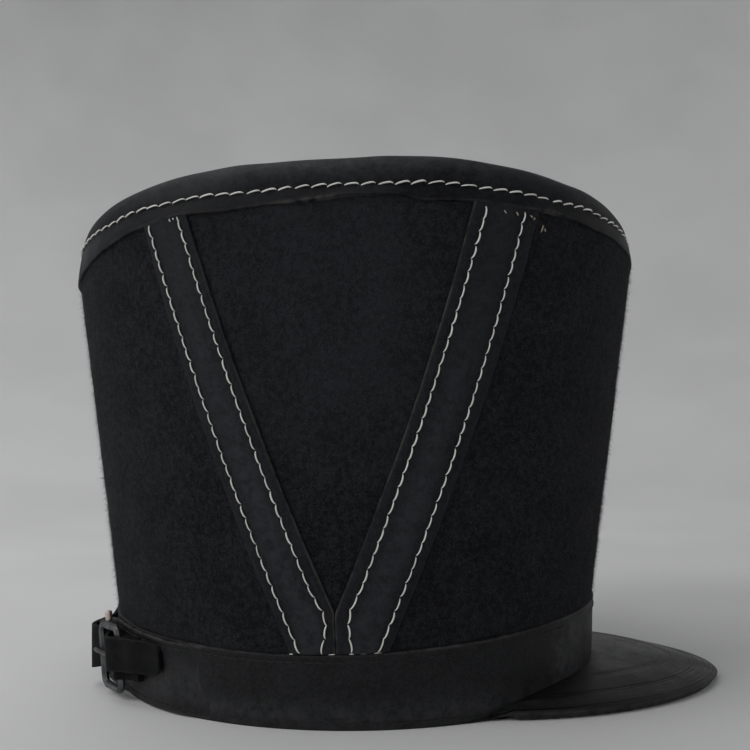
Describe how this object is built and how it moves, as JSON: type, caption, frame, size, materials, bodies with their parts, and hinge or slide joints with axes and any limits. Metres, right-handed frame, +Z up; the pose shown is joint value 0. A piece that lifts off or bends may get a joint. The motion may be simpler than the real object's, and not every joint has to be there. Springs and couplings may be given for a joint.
{
  "type": "shako hat",
  "caption": "Stiff military hat of black felt that widens upwards, with a leather crown, V-shaped side straps, a band, a short front peak and a buckled strap at the back.",
  "frame": {"origin": "on the surface that the hat rests on, under the middle of the outline seen from above", "axes": "+Z up through the crown; the peak points to -Y; the wearer's right side, with the buckle, is -X"},
  "size_m": [0.2338, 0.2708, 0.2004],
  "materials": {
    "felt": "matte napped wool felt, near black",
    "smooth_leather": "smooth waxed leather, satin, near black",
    "glossy_leather": "stiff polished leather, near black",
    "dark_steel": "dull dark wire",
    "copper": "dull copper-coloured stud"
  },
  "bodies": {
    "root": {"felt_body": "felt", "crown_top": "smooth_leather", "lower_band": "smooth_leather", "band_end": "smooth_leather", "chevron_right_front": "smooth_leather", "chevron_right_rear": "smooth_leather", "chevron_left_front": "smooth_leather", "chevron_left_rear": "smooth_leather", "peak": "glossy_leather", "closing_strap": "smooth_leather", "buckle_frame": "dark_steel", "buckle_prong": "dark_steel", "buckle_chape": "smooth_leather", "pin_head": "copper"}
  },
  "joints": []
}
